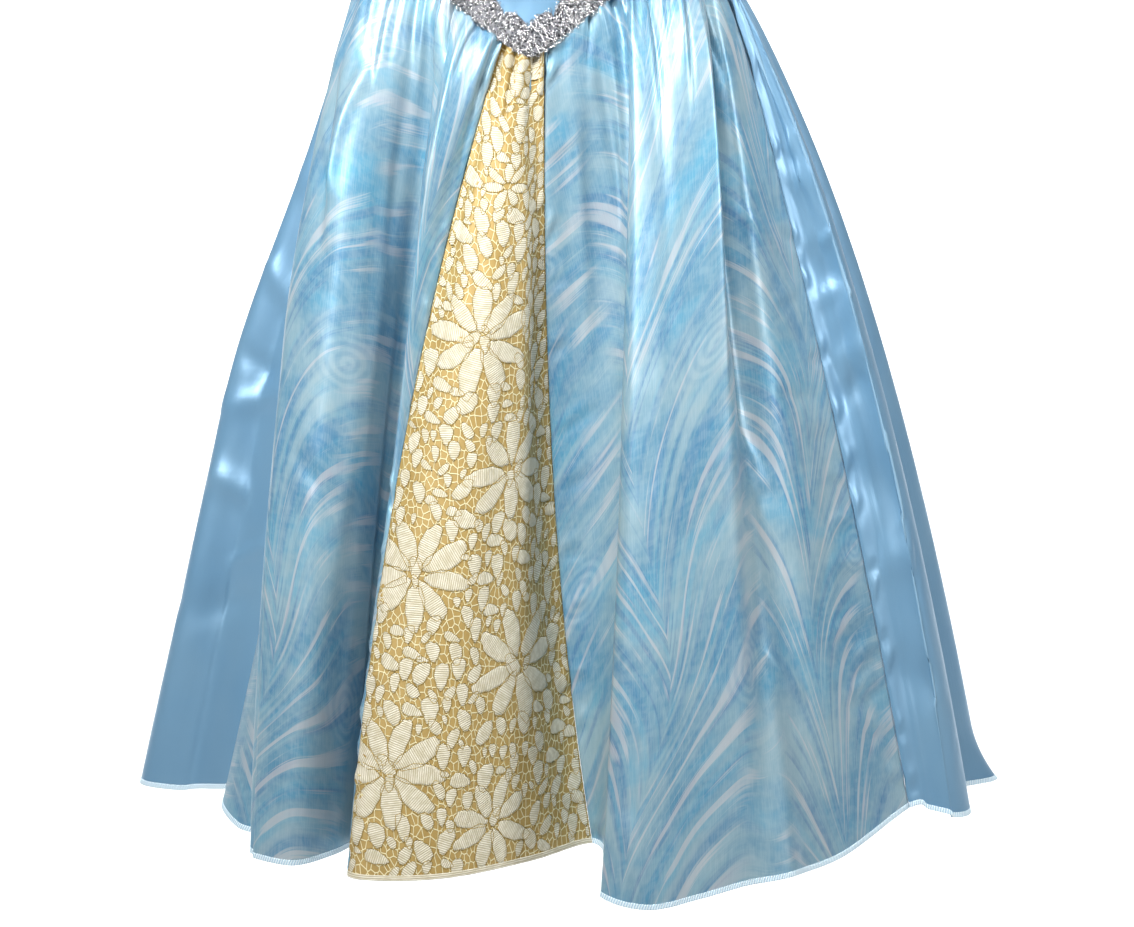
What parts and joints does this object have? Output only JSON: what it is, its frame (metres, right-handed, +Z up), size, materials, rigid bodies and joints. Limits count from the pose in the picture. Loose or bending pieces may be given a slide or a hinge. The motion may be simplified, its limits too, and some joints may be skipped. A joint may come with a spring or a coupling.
{
  "type": "princess costume dress",
  "caption": "Child's long princess costume dress with a plain satin bodice, pointed waist with silver scalloped trim, and full gathered skirt with a lace front panel.",
  "frame": {"origin": "midway between the tops of the two shoulders, where the wearer carries the dress", "axes": "+Z up, the dress faces -Y, +X to the right as seen from the front"},
  "size_m": [0.6414, 0.5108, 0.9374],
  "materials": {
    "plain_satin": "light blue polyester satin, glossy",
    "printed_satin": "light blue satin with a brushed plume print, glossy",
    "gold_lace": "ivory and gold floral lace over gold lining",
    "silver_braid": "silver glitter braid"
  },
  "bodies": {
    "root": {"bodice_front": "plain_satin", "bodice_back_left": "plain_satin", "bodice_back_right": "plain_satin", "silver_trim": "silver_braid", "lace_panel": "gold_lace", "printed_front_left": "printed_satin", "printed_front_right": "printed_satin", "plain_side_left": "plain_satin", "plain_side_right": "plain_satin", "plain_back_left": "plain_satin", "plain_back_right": "plain_satin"}
  },
  "joints": []
}
